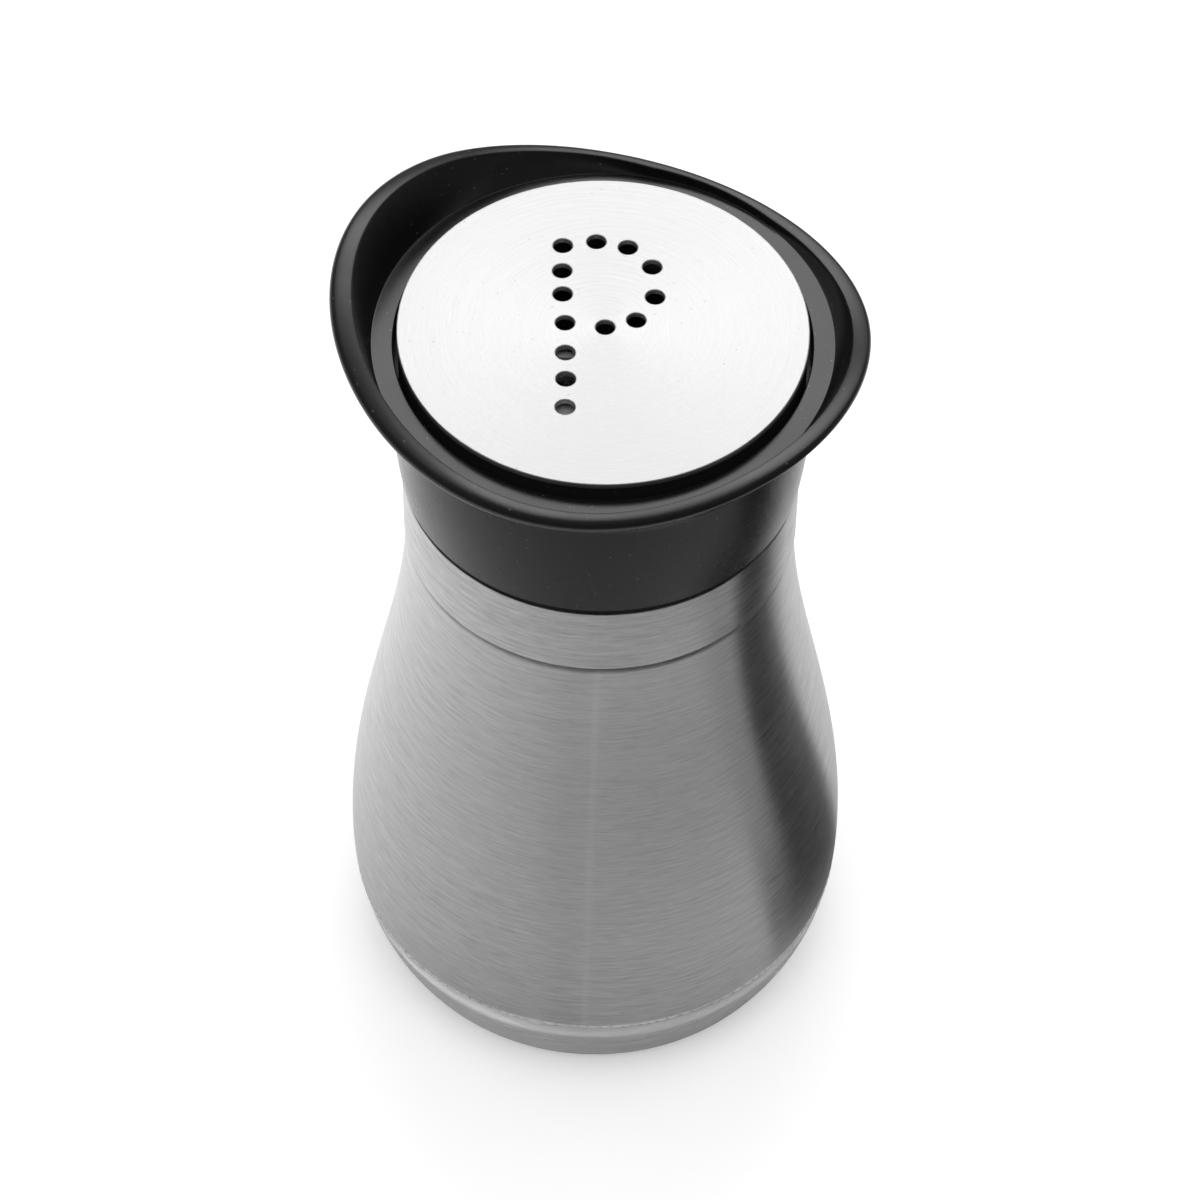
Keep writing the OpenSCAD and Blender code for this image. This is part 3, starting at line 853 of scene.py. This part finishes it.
def add_adhesive():
    """Ring of adhesive under the sleeve's edge, squeezed out in small beads."""
    centre_r = body_at(HEM_Z) - 0.1
    centre_z = HEM_Z - 0.2
    steps = 1152
    sides = 10
    rings = []
    for i in range(steps):
        a = 2 * math.pi * i / steps
        # Waves whose counts share no factor make the beads uneven
        swell = abs(math.sin(71 * a + 1.1 * math.sin(9 * a) + 0.7 * math.sin(23 * a)))
        bulge = 0.03 + 0.16 * swell ** 0.6 * (0.75 + 0.25 * math.sin(13 * a))
        ring = []
        for k in range(sides):
            t = 2 * math.pi * k / sides
            r = centre_r + bulge * math.cos(t)
            ring.append((r * math.cos(a), r * math.sin(a), centre_z + 1.2 * bulge * math.sin(t)))
        rings.append(ring)
    obj = ring_mesh("adhesive_beads", rings, sharp_angle=80)
    obj.data.materials.append(adhesive)
    finish_piece(obj, "bottle", "adhesive", "hem_adhesive")


add_sleeve()
add_collar()
add_band()
add_disc()
add_bottle()
add_carrier()
add_adhesive()
for name, mat in (("inner_cap", cap_plastic), ("mouth_seal", seal_rubber)):
    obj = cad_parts[name]
    obj.data.materials.clear()
    obj.data.materials.append(mat)


# Floor, lamps and world
# The studio is brighter behind than in front
BRIGHT_SIDE = (-0.35, 0.937, 0)


def towards_bright_side(tree, direction):
    """How far a direction points to the studio's bright side, from -1 to 1."""
    values = {0: direction, 1: BRIGHT_SIDE}
    return node(tree, "ShaderNodeVectorMath", values, operation="DOT_PRODUCT").outputs["Value"]


def add_sheet(name, corners):
    """Flat sheet of the stage, with its corners in millimetres."""
    mesh = bpy.data.meshes.new(name)
    mesh.from_pydata([tuple(c * MM for c in p) for p in corners], [], [tuple(range(len(corners)))])
    obj = linked(name, mesh)
    return obj


def add_floor():
    """Pale floor that keeps the object's shadow and glows for the camera, mirrors and glass."""
    reach = 3000
    obj = add_sheet("floor", [(-reach, -reach, 0), (reach, -reach, 0), (reach, reach, 0), (-reach, reach, 0)])
    mat, tree, shader = material("floor_paper", Roughness=0.9, Emission_Color=(1, 1, 1))
    path = node(tree, "ShaderNodeLightPath")
    place = object_place(tree, (1, 1, 0))
    outwards = node(tree, "ShaderNodeVectorMath", {0: place}, operation="NORMALIZE").outputs[0]
    apart = length_of(tree, place)
    # Painted shade: mirrors see it darker close to the object, where its shadow falls
    painted_shade_near = maths(tree, "MULTIPLY", remap(tree, apart, 0.048, 0.08, 1, 0), path.outputs["Is Glossy Ray"])
    shade = blend_colours(tree, painted_shade_near, (0.8, 0.8, 0.8), (0.62, 0.62, 0.62))
    tree.links.new(shade, shader.inputs["Base Color"])
    # The camera sees a glow that grows with the distance from the object
    shown = maths(tree, "MULTIPLY", path.outputs["Is Camera Ray"], remap(tree, apart, 0.2, 0.9, 0.4, 1))
    # Mirrors see it brighter on the studio's bright side
    side = remap(tree, towards_bright_side(tree, outwards), -1, 1, 0, 1)
    glow = maths(tree, "MULTIPLY", maths(tree, "POWER", side, 2.4), 0.7)
    mirrored = maths(tree, "MULTIPLY", path.outputs["Is Glossy Ray"], glow)
    # Through glass it is brighter at the front left and the back right
    parts = node(tree, "ShaderNodeSeparateXYZ", {0: outwards})
    quarter = maths(tree, "MULTIPLY", parts.outputs[0], parts.outputs[1])
    under = remap(tree, quarter, 0.2, 0.48, 0.52, 1.15)
    through = maths(tree, "MULTIPLY", path.outputs["Is Transmission Ray"], under)
    total = maths(tree, "ADD", maths(tree, "ADD", shown, mirrored), through)
    tree.links.new(total, shader.inputs["Emission Strength"])
    mat.cycles.emission_sampling = "NONE"
    obj.data.materials.append(mat)


def add_painted_shade_sheet(name, corners):
    """Black sheet of painted shade that lies on the floor, which only mirrors show."""
    above_floor = 0.5
    obj = add_sheet(name, [(x, y, above_floor) for x, y in corners])
    mat = material(name, Base_Color=(0.03, 0.03, 0.03), Roughness=0.9)[0]
    obj.data.materials.append(mat)
    obj.visible_camera = False
    obj.visible_diffuse = False
    obj.visible_shadow = False
    obj.visible_transmission = False


def add_lamp(name, place, target, width, height, radiance, mirrored=True):
    """Rectangular lamp of a given brightness that faces a target."""
    data = bpy.data.lights.new(name, "AREA")
    data.shape = "RECTANGLE"
    data.size = width
    data.size_y = height
    data.energy = radiance * width * height * math.pi
    obj = linked(name, data)
    obj.location = place
    obj.rotation_euler = (Vector(target) - Vector(place)).to_track_quat("-Z", "Y").to_euler()
    obj.visible_glossy = mirrored


def make_world():
    """Dim surroundings, brighter on one side, that the camera sees as white."""
    world = bpy.data.worlds.new("studio")
    bpy.context.scene.world = world
    world.use_nodes = True
    tree = world.node_tree
    back = tree.nodes["Background"]
    back.inputs["Color"].default_value = (1, 1, 1, 1)
    direction = node(tree, "ShaderNodeTexCoord").outputs["Generated"]
    level = remap(tree, towards_bright_side(tree, direction), -0.9, 0.9, 0.08, 0.2)
    camera = node(tree, "ShaderNodeLightPath").outputs["Is Camera Ray"]
    tree.links.new(maths(tree, "MAXIMUM", level, camera), back.inputs["Strength"])


add_floor()
# Painted shade: a dark sheet that the steel mirrors as a dark stripe at its right
add_painted_shade_sheet("painted_shade_right", [
    (38, -24), (60, -31), (69, -33), (75, -19), (84, -21), (96, -33), (200, -49),
    (200, 60), (86, 21), (64, 19), (53, 15), (46, 11), (38, 7)])
# Painted shade on the ground in front of the object, away from its foot
add_painted_shade_sheet("painted_shade_front", [
    (-700, -480), (-100, -282), (0, -240), (65, -178), (103, -123), (130, -75), (158, -28), (700, 200),
    (1500, -1500), (-1500, -1500)])
make_world()
add_lamp("softbox", (0, 0.51, 0.654), (0, 0, 0.104), width=0.4, height=0.36, radiance=3.0)
add_lamp("fill", (0, -0.1, 1.4), (0, 0, 0.05), width=1.6, height=1.6, radiance=2.4, mirrored=False)
bpy.context.scene.view_settings.view_transform = "Standard"
